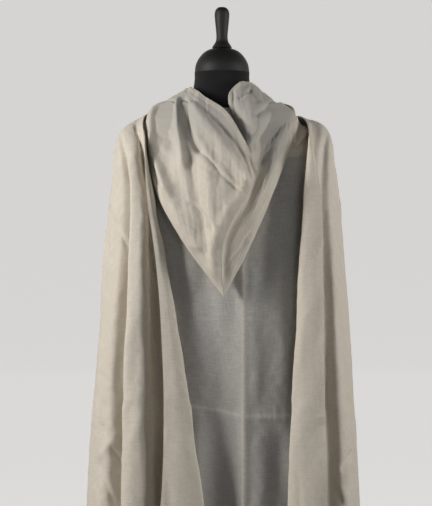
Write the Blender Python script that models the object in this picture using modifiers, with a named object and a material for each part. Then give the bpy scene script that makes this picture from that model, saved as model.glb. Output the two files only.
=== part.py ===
"""A hooded cloak (burnous) on a limbless dress form.

Metres, +Z up. The wearer would face -Y, so the back of the cloak, where the hood hangs, faces +Y.
The origin is on the floor, on the axis of the stand. Left means the wearer's left, which is +X.

The cloth is worked out from fold lines. A fold line is one crest or valley of the cloth, followed from the neck
over the shoulder to the hem; a panel is the smooth sheet through its fold lines, given a wall with Solidify.
"""

import math

import bmesh
import bpy
import numpy as np

# Driving sizes.
CLOTH = 0.002  # wall of the cloth
SEAM_GAP = 0.0003  # between two pieces that are sewn together
HEM_Z = 0.170  # height of the hem above the floor
HIP_SEAM_Z = 0.786  # height of the piecing seam at the centre back
LEFT_SEAM_RISE = 0.035  # how much higher that seam sits round the wearer's left
YOKE_SEAM_Z = 1.322  # height of the yoke seam at the centre back
YOKE_SEAM_RISE = 0.028  # how much higher it is where it meets the side seam
CHEST_Z = 1.260  # from here down the cloak hangs free
CENTRE_BACK_X = -0.043  # the centre back seam hangs a little to the wearer's right
SIDE_ANGLE = 84  # the shoulder and side seam, in degrees from the nape
FLARE_BOW = 0.5  # how early on the way down the cloak reaches its spread
BODY_CLEARANCE = 0.006  # from the form to the cloth that lies on it
FRONT_CLEARANCE = 0.0135  # from the form to the front that is thrown over that cloth
RING_POWER = 2.5  # roundness of the form's and the cloak's rings: 2 is an ellipse, more is squarer

# The dress form, ring by ring: height, half width, half depth, y of the middle.
FORM_RINGS = [
    (0.760, 0.146, 0.100, 0.000),
    (0.785, 0.162, 0.112, 0.002),
    (0.860, 0.172, 0.120, 0.004),
    (0.950, 0.161, 0.110, 0.002),
    (1.040, 0.147, 0.099, 0.000),
    (1.120, 0.155, 0.104, -0.002),
    (1.200, 0.169, 0.111, -0.004),
    (1.270, 0.181, 0.111, -0.003),
    (1.320, 0.190, 0.105, 0.000),
    (1.352, 0.193, 0.098, 0.002),
    (1.378, 0.181, 0.089, 0.003),
    (1.402, 0.150, 0.080, 0.003),
    (1.425, 0.112, 0.072, 0.003),
    (1.447, 0.080, 0.066, 0.002),
    (1.470, 0.064, 0.061, 0.001),
    (1.495, 0.059, 0.059, 0.000),
    (1.510, 0.059, 0.059, 0.000),
]

# The layer of cloak next to the form, ring by ring: height, half width, half depth.
CLOAK_RINGS = [
    (0.170, 0.226, 0.156),
    (0.500, 0.219, 0.149),
    (0.800, 0.214, 0.142),
    (1.000, 0.211, 0.137),
    (1.200, 0.209, 0.131),
    (1.300, 0.207, 0.126),
    (1.345, 0.203, 0.119),
    (1.375, 0.192, 0.109),
    (1.402, 0.164, 0.098),
    (1.425, 0.127, 0.088),
    (1.450, 0.089, 0.079),
]
NECKLINE_Z = 1.450  # at the sides of the neck
NAPE_DROP = 0.022  # how much lower it dips at the nape
THROAT_DROP = 0.068  # and at the throat

# Fold lines of a thrown back front, from its hairpin fold at the front of the arm round the outside to the
# free edge on the back. Columns: place across the shoulder (0 hairpin, 1 free edge), x and y at chest height,
# x and y at the hem, and how far the line bows inwards halfway down. x is positive on both sides.
LEFT_FRONT_FOLDS = [
    (0.00, 0.200, -0.090, 0.206, -0.128, 0.0),  # inside of the hairpin
    (0.03, 0.211, -0.109, 0.226, -0.154, 0.0),  # hairpin
    (0.07, 0.227, -0.099, 0.258, -0.136, 0.0),  # outside of the hairpin
    (0.18, 0.240, -0.056, 0.292, -0.078, 0.0),  # crest at the front of the arm
    (0.30, 0.231, -0.020, 0.271, -0.022, 0.0),  # dip over the arm
    (0.42, 0.238, 0.020, 0.303, 0.034, 0.0),  # outline crest
    (0.52, 0.226, 0.064, 0.288, 0.106, 0.0),  # outer fold, back
    (0.60, 0.207, 0.094, 0.250, 0.146, 0.0),  # outer fold, turning in
    (0.66, 0.184, 0.095, 0.204, 0.120, 0.0),  # outer valley
    (0.72, 0.188, 0.127, 0.214, 0.188, 0.0),  # broad fold, outer edge
    (0.79, 0.171, 0.137, 0.176, 0.208, 0.0),  # broad fold, crest
    (0.85, 0.163, 0.133, 0.140, 0.186, 0.0),  # broad fold, inner side
    (0.89, 0.155, 0.116, 0.122, 0.148, 0.0),  # inner valley
    (0.93, 0.151, 0.127, 0.058, 0.176, 0.0),  # under the turned back edge
    (0.96, 0.146, 0.139, -0.004, 0.196, 0.0),  # fold of the turned back edge
    (0.98, 0.151, 0.150, 0.068, 0.214, 0.020),  # turned back edge, middle
    (1.00, 0.157, 0.151, 0.185, 0.212, 0.054),  # free edge
]
RIGHT_FRONT_FOLDS = [
    (0.00, 0.200, -0.090, 0.206, -0.128, 0.0),  # inside of the hairpin
    (0.03, 0.213, -0.109, 0.228, -0.152, 0.0),  # hairpin
    (0.07, 0.231, -0.098, 0.262, -0.132, 0.0),  # outside of the hairpin
    (0.18, 0.246, -0.053, 0.296, -0.070, 0.0),  # crest at the front of the arm
    (0.30, 0.238, -0.016, 0.277, -0.018, 0.0),  # dip over the arm
    (0.43, 0.249, 0.024, 0.306, 0.036, 0.0),  # outline crest
    (0.55, 0.240, 0.068, 0.291, 0.108, 0.0),  # outer fold, back
    (0.64, 0.223, 0.099, 0.260, 0.148, 0.0),  # outer fold, turning in
    (0.71, 0.206, 0.100, 0.228, 0.132, 0.0),  # valley
    (0.78, 0.194, 0.118, 0.196, 0.160, 0.0),  # under the turned back edge
    (0.85, 0.181, 0.122, 0.150, 0.164, 0.0),  # under the turned back edge, inner
    (0.91, 0.171, 0.134, 0.120, 0.180, 0.0),  # roll of the turned back edge
    (0.94, 0.175, 0.146, 0.137, 0.200, 0.0),  # fold of the turned back edge
    (0.97, 0.189, 0.151, 0.174, 0.212, 0.0),  # turned back edge, middle
    (1.00, 0.202, 0.146, 0.217, 0.208, 0.0),  # free edge
]

# Arcs that all fold lines of a front cross, from the hairpin to the free edge: at the throat, on the chest and
# over the shoulder. The free edge crosses the shoulder further out on the right.
THROAT_ARC = [(0.0016, -0.128, 1.304), (0.0016, -0.126, 1.338), (0.0016, -0.121, 1.372)]
CHEST_ARC = [(0.108, -0.134, 1.296), (0.138, -0.119, 1.350), (0.120, -0.086, 1.410)]
LEFT_SHOULDER_ARC = [(0.184, -0.108, 1.262), (0.224, -0.034, 1.344), (0.212, 0.006, 1.388), (0.163, 0.010, 1.420)]
RIGHT_SHOULDER_ARC = [(0.185, -0.107, 1.262), (0.229, -0.034, 1.350), (0.221, 0.006, 1.392), (0.172, 0.010, 1.414)]

# The hood, lying on the back. Each row is a line round the neck from the neckline to the centre seam, and each
# entry is a point on it: beside the neck, over the shoulder, then down the back. The line starts on the neckline,
# at the angle from the nape that comes first in the row, and ends at the place on the centre seam that comes last.
LEFT_HOOD_LINES = [
    (176, (0.072, -0.055, 1.437), (0.068, 0.040, 1.475), (0.030, 0.100, 1.446), (-0.008, 0.128, 1.418),
     (-0.043, 0.160, 1.360), 0),  # rim of the face opening
    (138, (0.090, -0.040, 1.448), (0.098, 0.035, 1.459), (0.085, 0.115, 1.405), (0.068, 0.166, 1.330),
     (0.035, 0.196, 1.250), 4),  # middle
    (100, (0.118, -0.004, 1.446), (0.154, 0.034, 1.428), (0.157, 0.096, 1.352), (0.136, 0.138, 1.250),
     (0.080, 0.158, 1.146), 6),  # outline
]
RIGHT_HOOD_LINES = [
    (176, (-0.080, -0.050, 1.445), (-0.072, 0.035, 1.478), (-0.041, 0.074, 1.484), (-0.014, 0.097, 1.456),
     (-0.024, 0.112, 1.400), 0),  # rim of the face opening
    (155, (-0.092, -0.040, 1.452), (-0.092, 0.038, 1.462), (-0.080, 0.100, 1.436), (-0.074, 0.138, 1.394),
     (-0.062, 0.150, 1.345), 1),  # lobe beside the neck
    (138, (-0.102, -0.030, 1.443), (-0.116, 0.034, 1.441), (-0.117, 0.076, 1.420), (-0.098, 0.106, 1.384),
     (-0.076, 0.134, 1.336), 2),  # crevice
    (120, (-0.110, -0.018, 1.443), (-0.134, 0.033, 1.431), (-0.134, 0.088, 1.396), (-0.115, 0.132, 1.336),
     (-0.082, 0.168, 1.258), 3.5),  # band
    (100, (-0.120, -0.004, 1.443), (-0.152, 0.032, 1.432), (-0.144, 0.092, 1.362), (-0.112, 0.138, 1.266),
     (-0.056, 0.158, 1.135), 6),  # outline
]
# The centre seam of the hood, from the rim down to the point of the hood.
HOOD_SEAM = [
    (-0.073, 0.182, 1.296), (-0.060, 0.191, 1.262), (-0.047, 0.197, 1.232), (-0.024, 0.203, 1.196),
    (-0.003, 0.200, 1.148), (0.002, 0.186, 1.090), (-0.003, 0.166, 1.034),
]
SEAM_LAP = 0.0016  # how far the left half is raised and the right half lowered where the rim crosses over
NAPE_ANGLE = 80  # where the hood's under layer meets its outline at the neckline, from the nape
UNDER_HOOD = 0.007  # from the back panel to the hood's under layer

# The stand: turned profiles of radius and height, from the top down.
FINIAL_PROFILE = [
    (0.0000, 1.6520), (0.0080, 1.6510), (0.0135, 1.6460), (0.0158, 1.6380), (0.0152, 1.6250), (0.0130, 1.6020),
    (0.0121, 1.5880), (0.0135, 1.5780), (0.0190, 1.5690), (0.0215, 1.5643), (0.0000, 1.5643),
]
NECK_CAP_PROFILE = [
    (0.0000, 1.5640), (0.0200, 1.5625), (0.0360, 1.5560), (0.0480, 1.5440), (0.0560, 1.5290), (0.0590, 1.5103),
    (0.0000, 1.5103),
]
POLE_PROFILE = [
    (0.0000, 0.7597), (0.0500, 0.7597), (0.0500, 0.7530), (0.0200, 0.7480), (0.0140, 0.7420), (0.0140, 0.0603),
    (0.0000, 0.0603),
]
BASE_PROFILE = [
    (0.0000, 0.0600), (0.0250, 0.0600), (0.0260, 0.0250), (0.0340, 0.0150), (0.1750, 0.0100), (0.1900, 0.0070),
    (0.1900, 0.0000), (0.0000, 0.0000),
]


def ring_at(rings, z):
    """The ring sizes at a height, between the table's rows."""
    table = np.array(rings)
    return [float(np.interp(z, table[:, 0], table[:, k])) for k in range(1, table.shape[1])]


def excess_over(rings, point):
    """How far outside a stack of rings a point is, as a share of the ring's radius."""
    half_width, half_depth, *middle = ring_at(rings, point[2])
    off_middle = point[1] - sum(middle)
    across = abs(point[0] / half_width) ** RING_POWER + abs(off_middle / half_depth) ** RING_POWER
    return across ** (1 / RING_POWER) - 1


def lifted(point, clearance, rings=FORM_RINGS):
    """The point, moved straight off the rings where it is nearer to them than the clearance."""
    step = 0.0005
    moved = np.array(point, float)
    for _ in range(4):
        excess = excess_over(rings, moved)
        slope = np.array([excess_over(rings, moved + step * axis) - excess for axis in np.eye(3)]) / step
        length = float(np.linalg.norm(slope)) + 1e-9
        missing = clearance - excess / length
        if missing > 0:
            moved += slope / length * missing
    return moved


def through(points, places):
    """Points on the smooth curve through points. A place of 1.5 is halfway from the second to the third."""
    points = np.array(points, float)
    gaps = np.sqrt(np.linalg.norm(np.diff(points, axis=0), axis=1)) + 1e-9
    slopes = np.diff(points, axis=0) / gaps[:, None]
    tangents = np.empty_like(points)
    tangents[1:-1] = (slopes[:-1] * gaps[1:, None] + slopes[1:] * gaps[:-1, None]) / (gaps[:-1] + gaps[1:])[:, None]
    tangents[0], tangents[-1] = slopes[0], slopes[-1]
    found = []
    for place in places:
        i = min(int(place), len(points) - 2)
        t = place - i
        lead, pull = tangents[i] * gaps[i], tangents[i + 1] * gaps[i]
        found.append(
            points[i] * (2 * t**3 - 3 * t**2 + 1)
            + lead * (t**3 - 2 * t**2 + t)
            + points[i + 1] * (3 * t**2 - 2 * t**3)
            + pull * (t**3 - t**2)
        )
    return np.array(found)


def cloak_ring_point(angle, z):
    """A point of the cloak's inner layer. The angle is in degrees from the nape towards the side."""
    half_width, half_depth = ring_at(CLOAK_RINGS, z)
    across, back = math.sin(math.radians(angle)), math.cos(math.radians(angle))
    x = half_width * math.copysign(abs(across) ** (2 / RING_POWER), across)
    y = half_depth * math.copysign(abs(back) ** (2 / RING_POWER), back)
    return np.array([x, y, z])


def neckline_z(angle):
    """The height of the neckline, which dips at the nape and more at the throat."""
    towards_nape = math.cos(math.radians(angle))
    return NECKLINE_Z - NAPE_DROP * max(0.0, towards_nape) ** 2 - THROAT_DROP * ((1 - towards_nape) / 2) ** 2


def neck_point(side, angle, rise=0.0, out=0.0):
    """A point on the neckline seam. side is 1 for left and -1 for right."""
    x, y, z = lifted(cloak_ring_point(angle, neckline_z(angle)), BODY_CLEARANCE)
    away = math.hypot(x, y)
    return np.array([side * x * (1 + out / away), y * (1 + out / away), z + rise])


def yoke_seam_z(angle):
    return YOKE_SEAM_Z + YOKE_SEAM_RISE * (angle / SIDE_ANGLE) ** 2


def hip_seam_z(side, angle):
    """The piecing seam is level on the right, and climbs from the centre back seam round the left."""
    if side < 0:
        return HIP_SEAM_Z
    climb = min(1.0, max(0.0, (angle + 8) / 14))
    return HIP_SEAM_Z + LEFT_SEAM_RISE * (0.55 * climb + 0.45 * max(0.0, angle / SIDE_ANGLE))


def centre_hollow(x, z):
    """Below the hip seam the centre back falls into one soft hollow, left of the centre back seam."""
    depth = 0.030 * min(1.0, max(0.0, (HIP_SEAM_Z + 0.04 - z) / 0.30))
    return depth * math.exp(-(((x - 0.008) / 0.032) ** 2))


def inner_layer_point(side, angle, z):
    """A point of the layer next to the form, clear of the form."""
    x, y, z = lifted(cloak_ring_point(angle, z), BODY_CLEARANCE)
    return np.array([side * x, y - centre_hollow(side * x, z), z])


def back_grid(side, angles, top_at, bottom_at, rows, crowding=1.0):
    """Points of a piece of the back: rows from its top edge to its bottom edge, at the given angles."""
    grid = []
    for v in np.linspace(0, 1, rows + 1) ** crowding:
        grid.append([inner_layer_point(side, a, top_at(a) + (bottom_at(a) - top_at(a)) * v) for a in angles])
    return np.array(grid)


def centre_back_angle(side, z):
    """The angle of the centre back seam for the panel on this side, half a seam gap clear of it."""
    half_width = ring_at(CLOAK_RINGS, z)[0]
    x = side * CENTRE_BACK_X + SEAM_GAP
    return math.degrees(math.asin((abs(x) / half_width) ** (RING_POWER / 2))) * math.copysign(1, x)


def front_line(side, fold, shoulder_arc):
    """The way points of one fold line of a front: throat, chest, shoulder, blade, then down to the hem."""
    place, x_chest, y_chest, x_hem, y_hem, bow = fold
    over = through(shoulder_arc, [place * 3])[0]
    points = [through(THROAT_ARC, [place * 2])[0], through(CHEST_ARC, [place * 2])[0], over]
    chest_z = min(CHEST_Z, over[2] - 0.06)
    blade_z = (over[2] + chest_z) / 2
    shallower = ring_at(CLOAK_RINGS, blade_z)[1] / ring_at(CLOAK_RINGS, CHEST_Z)[1]
    points.append(np.array([(over[0] + x_chest) / 2, y_chest * shallower, blade_z]))
    for z in (chest_z, 1.08, 0.90, 0.70, 0.44, HEM_Z):
        down = (CHEST_Z - z) / (CHEST_Z - HEM_Z)
        spread = down * (1 + FLARE_BOW * (1 - down))
        x = x_chest + (x_hem - x_chest) * spread - bow * 4 * down * (1 - down)
        y = y_chest + (y_hem - y_chest) * spread
        points.append(np.array([x, y, z]))
    points = [lifted(p, FRONT_CLEARANCE) if p[2] > 1.2 else p for p in points]
    return [p * (side, 1, 1) for p in points]


def inner_line(side, top_angle, low_angle):
    """The way points of one line of a front's inner layer, at the same heights as front_line's."""
    top = neckline_z(top_angle)
    points = []
    for i, z in enumerate((top, top - 0.022, top - 0.065, 1.325, CHEST_Z, 1.08, 0.90, 0.70, 0.44, HEM_Z)):
        angle = top_angle + (low_angle - top_angle) * min(1.0, i / 4)
        points.append(inner_layer_point(side, angle, z))
    return points


def front_sheet(side, folds, shoulder_arc, steps_across, places_down):
    """The whole front as a sheet: places down its lines by steps across from the side seam to the free edge."""
    lines = [inner_line(side, *angles) for angles in ((SIDE_ANGLE + 0.3, SIDE_ANGLE + 0.3), (112, 101), (142, 118))]
    lines += [front_line(side, fold, shoulder_arc) for fold in folds]
    down = np.array([through(line, places_down) for line in lines])
    across = np.linspace(0, len(lines) - 1, steps_across * (len(lines) - 1) + 1)
    return np.array([through(down[:, k], across) for k in range(down.shape[1])])


def off_the_back(point):
    """A point of the hood, clear of the yoke and back, or of the neck above the neckline."""
    if point[2] > NECKLINE_Z - 0.008:
        return lifted(point, BODY_CLEARANCE)
    return lifted(point, UNDER_HOOD, CLOAK_RINGS)


def laid_on_back(point):
    """A point of the hood's under layer, brought down or out to lie just over the yoke and back."""
    low, high = 0.0, 0.3
    for _ in range(24):
        middle = (low + high) / 2
        inside = excess_over(CLOAK_RINGS, (point[0], middle, point[2])) < 0
        low, high = (middle, high) if inside else (low, middle)
    return off_the_back(np.array([point[0], max(high, point[1]), point[2]]))


def trimmed(sheet, by=0.0024):
    """The sheet with its last row drawn back a little, so that walls that meet at an angle stay apart."""
    step = sheet[-2] - sheet[-1]
    sheet[-1] += step / (np.linalg.norm(step, axis=1)[:, None] + 1e-9) * by
    return sheet


def sewn_to(sheet, seam):
    """The sheet with its last row brought onto the seam, and the rows before it brought along less and less."""
    shift = seam - sheet[-1, : len(seam)]
    for k, share in enumerate(np.linspace(0, 1, len(sheet))):
        sheet[k, : len(seam)] += shift * share**5
    return sheet


def hood_sheet(side, lines, steps_along, steps_across):
    """A hood half: places along its lines from the neckline to the centre seam, by steps from rim to nape."""
    rise, out = 0.0045, 0.002
    rows = []
    for angle, *points, seam_place in lines:
        points.append(through(HOOD_SEAM, [seam_place])[0])
        rows.append([neck_point(side, angle, rise, out)] + [off_the_back(p) for p in points])
    outline = rows[-1]
    count = len(outline)
    for share in (0.35, 0.7, 1.0):
        row = []
        for i, start in enumerate(outline):
            nape = neck_point(side, NAPE_ANGLE * (1 - i / (count - 1)), rise, out)
            point = start + (nape - start) * share
            row.append(laid_on_back(point) if share < 1 else point)
        rows.append(row)
    rows = np.array(rows)
    along = np.linspace(0, count - 1, steps_along * (count - 1) + 1)
    smooth = np.array([through(row, along) for row in rows])
    across = np.linspace(0, len(rows) - 1, steps_across * (len(rows) - 1) + 1)
    sheet = np.array([through(smooth[:, k], across) for k in range(smooth.shape[1])])
    top = across[across <= len(lines) - 1]
    seam = through(HOOD_SEAM, np.interp(top, range(len(lines)), [line[-1] for line in lines]))
    seam[:, 1] += side * SEAM_LAP * np.linspace(1, 0, len(seam))
    return trimmed(sewn_to(sheet, seam))


def material(name, colour, roughness, metallic=0.0):
    found = bpy.data.materials.get(name) or bpy.data.materials.new(name)
    found.use_nodes = True
    shader = found.node_tree.nodes["Principled BSDF"]
    shader.inputs["Base Color"].default_value = (*colour, 1.0)
    shader.inputs["Roughness"].default_value = roughness
    shader.inputs["Metallic"].default_value = metallic
    return found


def finish(obj, finish_material, smooth_angle=40):
    obj.data.materials.append(finish_material)
    obj.data.shade_smooth()
    obj.data.set_sharp_from_angle(angle=math.radians(smooth_angle))
    return obj


def linked(name, mesh):
    obj = bpy.data.objects.new(name, mesh)
    bpy.data.collections["hooded_cloak_on_form"].objects.link(obj)
    return obj


def sheet_object(name, grid, cloth):
    """A sheet of cloth through a grid of points, with a wall."""
    rows, columns = len(grid), len(grid[0])
    mesh = bpy.data.meshes.new(name)
    corners = [
        (r * columns + c, r * columns + c + 1, (r + 1) * columns + c + 1, (r + 1) * columns + c)
        for r in range(rows - 1)
        for c in range(columns - 1)
    ]
    mesh.from_pydata([tuple(p) for row in grid for p in row], [], corners)
    obj = finish(linked(name, mesh), cloth, 60)
    wall = obj.modifiers.new("wall", "SOLIDIFY")
    wall.thickness = CLOTH
    wall.offset = 0
    wall.use_even_offset = False
    return obj


def turned_object(name, profile, turned_material, steps=48):
    """A turned piece: its profile at +X, from the top down, round the Z axis."""
    mesh = bpy.data.meshes.new(name)
    mesh.from_pydata([(r, 0, z) for r, z in profile], [(i, i + 1) for i in range(len(profile) - 1)], [])
    obj = linked(name, mesh)
    screw = obj.modifiers.new("turn", "SCREW")
    screw.steps = steps
    screw.render_steps = steps
    screw.use_merge_vertices = True
    screw.merge_threshold = 0.0001
    return finish(obj, turned_material)


def form_object(name, form_material, segments=40):
    """The torso and neck: a loft through the form's rings, closed at both ends."""
    mesh = bmesh.new()
    loops = []
    for z, half_width, half_depth, middle in FORM_RINGS:
        loop = []
        for k in range(segments):
            turn = 2 * math.pi * k / segments
            power = 2 / (RING_POWER if z < 1.44 else 2)
            x = half_width * math.copysign(abs(math.sin(turn)) ** power, math.sin(turn))
            y = middle + half_depth * math.copysign(abs(math.cos(turn)) ** power, math.cos(turn))
            loop.append(mesh.verts.new((x, y, z)))
        loops.append(loop)
    for low, high in zip(loops, loops[1:]):
        for k in range(segments):
            after = (k + 1) % segments
            mesh.faces.new((low[k], high[k], high[after], low[after]))
    mesh.faces.new(loops[0])
    mesh.faces.new(loops[-1][::-1])
    bmesh.ops.recalc_face_normals(mesh, faces=mesh.faces)
    data = bpy.data.meshes.new(name)
    mesh.to_mesh(data)
    mesh.free()
    return finish(linked(name, data), form_material)


def build_cloak(cloth):
    halves = {side: np.linspace(centre_back_angle(side, HIP_SEAM_Z), SIDE_ANGLE, 11) for side in (1, -1)}
    across = np.concatenate([-halves[-1][:0:-1], halves[1]])
    sheet_object("back_yoke", back_grid(1, across, neckline_z, lambda a: yoke_seam_z(a) + SEAM_GAP / 2, 5), cloth)
    places_down = [0, 0.5, 1, 1.35, 1.7, 2, 2.35, 2.7, 3, 3.5, 4, 5, 6]
    for side, hand, folds, arc, seam in (
        (1, "left", LEFT_FRONT_FOLDS, LEFT_SHOULDER_ARC, 6.40),
        (-1, "right", RIGHT_FRONT_FOLDS, RIGHT_SHOULDER_ARC, 6.57),
    ):
        half, half_gap = halves[side], SEAM_GAP / 2
        upper = back_grid(
            side, half, lambda a: yoke_seam_z(a) - half_gap, lambda a, s=side: hip_seam_z(s, a) + half_gap, 7, 1.2
        )
        lower = back_grid(side, half, lambda a, s=side: hip_seam_z(s, a) - half_gap, lambda a: HEM_Z, 5)
        sheet_object(f"back_upper_{hand}", upper, cloth)
        sheet_object(f"back_lower_{hand}", lower, cloth)
        upper_front = front_sheet(side, folds, arc, 2, places_down + [seam])
        lower_front = front_sheet(side, folds, arc, 2, [seam + 0.0015, 7, 8, 9])
        sheet_object(f"front_upper_{hand}", upper_front, cloth)
        sheet_object(f"front_lower_{hand}", lower_front, cloth)


def build_hood(cloth):
    sheet_object("hood_left", hood_sheet(1, LEFT_HOOD_LINES, 2, 4), cloth)
    sheet_object("hood_right", hood_sheet(-1, RIGHT_HOOD_LINES, 2, 3), cloth)


def build_stand(jersey, lacquer, steel):
    form_object("dress_form", jersey)
    turned_object("neck_cap", NECK_CAP_PROFILE, lacquer, 48)
    turned_object("finial", FINIAL_PROFILE, lacquer, 32)
    turned_object("stand_pole", POLE_PROFILE, steel, 32)
    turned_object("stand_base", BASE_PROFILE, steel, 64)


def main():
    for obj in list(bpy.data.objects):
        bpy.data.objects.remove(obj)
    bpy.context.scene.collection.children.link(bpy.data.collections.new("hooded_cloak_on_form"))
    cloth = material("cream_wool", (0.62, 0.57, 0.49), 0.85)
    jersey = material("black_jersey", (0.012, 0.012, 0.014), 0.9)
    lacquer = material("black_lacquered_wood", (0.008, 0.008, 0.009), 0.45)
    steel = material("black_painted_steel", (0.015, 0.015, 0.016), 0.5, 0.2)
    build_cloak(cloth)
    build_hood(cloth)
    build_stand(jersey, lacquer, steel)


main()
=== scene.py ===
import math

import bpy
import numpy as np
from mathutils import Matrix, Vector


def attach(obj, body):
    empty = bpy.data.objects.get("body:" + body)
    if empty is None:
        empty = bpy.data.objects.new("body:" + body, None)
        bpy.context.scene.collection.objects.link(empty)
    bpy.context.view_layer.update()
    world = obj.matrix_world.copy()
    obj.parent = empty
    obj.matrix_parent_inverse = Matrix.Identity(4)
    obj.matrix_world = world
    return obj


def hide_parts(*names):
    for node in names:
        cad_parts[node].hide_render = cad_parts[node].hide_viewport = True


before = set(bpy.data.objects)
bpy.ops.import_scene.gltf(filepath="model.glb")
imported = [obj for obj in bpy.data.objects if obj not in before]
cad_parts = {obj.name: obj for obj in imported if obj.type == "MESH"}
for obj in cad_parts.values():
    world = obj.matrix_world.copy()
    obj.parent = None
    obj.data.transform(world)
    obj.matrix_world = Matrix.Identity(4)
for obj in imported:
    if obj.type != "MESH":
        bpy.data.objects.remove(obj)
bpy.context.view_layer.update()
print("frame loaded")

# Metres, +Z up. The back of the cloak, where the hood hangs, faces +Y, and the wearer's left is +X.

cloakSizes = {
    "clothThickness": 0.0013,
    "hemThickness": 0.0024,  # two layers of cloth, pressed flat
    "hemWidth": 0.011,
    "allowance": 0.0045,  # beside each seam, where the cloth lies double
    "seamGap": 0.0001,
    "centreLap": 0.0004,  # each half reaches past the centre back seam, so that it stays closed
    "hemHeight": 0.170,
    "hipSeamHeight": 0.786,
    "leftSeamRise": 0.035,
    "yokeSeamHeight": 1.322,
    "yokeSeamRise": 0.028,
    "chestHeight": 1.260,
    "centreBackX": -0.043,
    "sideAngle": 84,  # the shoulder and side seam, in degrees from the nape
    "flareBow": 0.5,
    "bodyClearance": 0.006,
    "frontClearance": 0.0135,
    "necklineHeight": 1.450,
    "napeDrop": 0.022,
    "throatDrop": 0.068,
    "napeAngle": 80,
    "underHood": 0.007,
    "roundness": 2.5,
}

# height, half width, half depth, y of the middle
formRings = [
    (0.760, 0.146, 0.100, 0.000),
    (0.785, 0.162, 0.112, 0.002),
    (0.860, 0.172, 0.120, 0.004),
    (0.950, 0.161, 0.110, 0.002),
    (1.040, 0.147, 0.099, 0.000),
    (1.120, 0.155, 0.104, -0.002),
    (1.200, 0.169, 0.111, -0.004),
    (1.270, 0.181, 0.111, -0.003),
    (1.320, 0.190, 0.105, 0.000),
    (1.352, 0.193, 0.098, 0.002),
    (1.378, 0.181, 0.089, 0.003),
    (1.402, 0.150, 0.080, 0.003),
    (1.425, 0.112, 0.072, 0.003),
    (1.447, 0.080, 0.066, 0.002),
    (1.470, 0.064, 0.061, 0.001),
    (1.495, 0.059, 0.059, 0.000),
    (1.510, 0.059, 0.059, 0.000),
]

# the layer of cloak next to the form: height, half width, half depth
cloakRings = [
    (0.170, 0.226, 0.156),
    (0.500, 0.219, 0.149),
    (0.800, 0.214, 0.142),
    (1.000, 0.211, 0.137),
    (1.200, 0.209, 0.131),
    (1.300, 0.207, 0.126),
    (1.345, 0.203, 0.119),
    (1.375, 0.192, 0.109),
    (1.402, 0.164, 0.098),
    (1.425, 0.127, 0.088),
    (1.450, 0.089, 0.079),
]


def ringAt(rings, z):
    table = np.array(rings)
    return [np.interp(z, table[:, 0], table[:, k]) for k in range(1, table.shape[1])]


def excessOver(rings, points):
    # how far outside a stack of rings points are, as a share of the ring
    halfWidth, halfDepth, *middle = ringAt(rings, points[..., 2])
    power = cloakSizes["roundness"]
    offMiddle = points[..., 1] - sum(middle)
    across = np.abs(points[..., 0] / halfWidth) ** power
    across = across + np.abs(offMiddle / halfDepth) ** power
    return across ** (1 / power) - 1


def lifted(points, clearance, rings=formRings, settle=False):
    # points moved off the rings where they are nearer than the clearance; settle also brings far ones back
    step = 0.0005
    moved = np.array(points, float)
    for _ in range(4):
        excess = excessOver(rings, moved)
        slopes = [excessOver(rings, moved + step * axis) - excess for axis in np.eye(3)]
        slope = np.stack(slopes, axis=-1) / step
        length = np.linalg.norm(slope, axis=-1) + 1e-9
        missing = clearance - excess / length
        if not settle:
            missing = np.maximum(missing, 0)
        moved += slope / length[..., None] * missing[..., None]
    return moved


def through(points, places):
    # points on the smooth curve through points, or on many such curves side by side
    points = np.asarray(points, float)
    single = points.ndim == 2
    if single:
        points = points[:, None]
    gaps = np.sqrt(np.linalg.norm(np.diff(points, axis=0), axis=2, keepdims=True)) + 1e-6
    slopes = np.diff(points, axis=0) / gaps
    inner = (slopes[:-1] * gaps[1:] + slopes[1:] * gaps[:-1]) / (gaps[:-1] + gaps[1:])
    tangents = np.concatenate([slopes[:1], inner, slopes[-1:]])
    places = np.asarray(places, float)
    i = np.clip(places.astype(int), 0, len(points) - 2)
    t = (places - i)[:, None, None]
    found = (
        points[i] * (2 * t**3 - 3 * t**2 + 1)
        + tangents[i] * gaps[i] * (t**3 - 2 * t**2 + t)
        + points[i + 1] * (3 * t**2 - 2 * t**3)
        + tangents[i + 1] * gaps[i] * (t**3 - t**2)
    )
    return found[:, 0] if single else found


def refined(grid, rows, columns):
    # the same sheet with more points, through all of the grid's own
    down = through(grid, np.linspace(0, len(grid) - 1, rows))
    across = through(down.swapaxes(0, 1), np.linspace(0, grid.shape[1] - 1, columns))
    return across.swapaxes(0, 1)


def evenPlaces(lines, low, high, count):
    # places from low to high along a set of lines, evenly spaced in metres of cloth
    fine = np.linspace(low, high, 300)
    steps = np.linalg.norm(np.diff(through(lines.swapaxes(0, 1), fine), axis=0), axis=2).mean(axis=1)
    travelled = np.concatenate([[0], np.cumsum(steps)])
    return np.interp(np.linspace(0, travelled[-1], count), travelled, fine)


def normalsOf(grid):
    down = np.gradient(grid, axis=0)
    across = np.gradient(grid, axis=1)
    normals = np.cross(down, across)
    length = np.linalg.norm(normals, axis=2, keepdims=True)
    return normals / np.maximum(length, 1e-12)


def smoothStep(x, low, high):
    t = np.clip((x - low) / (high - low), 0, 1)
    return t * t * (3 - 2 * t)


def arcLengths(grid, axis):
    # metres of cloth along the rows or columns
    steps = np.linalg.norm(np.diff(grid, axis=axis), axis=2)
    zero = np.zeros_like(np.take(steps, [0], axis=axis))
    return np.cumsum(np.concatenate([zero, steps], axis=axis), axis=axis)


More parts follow.
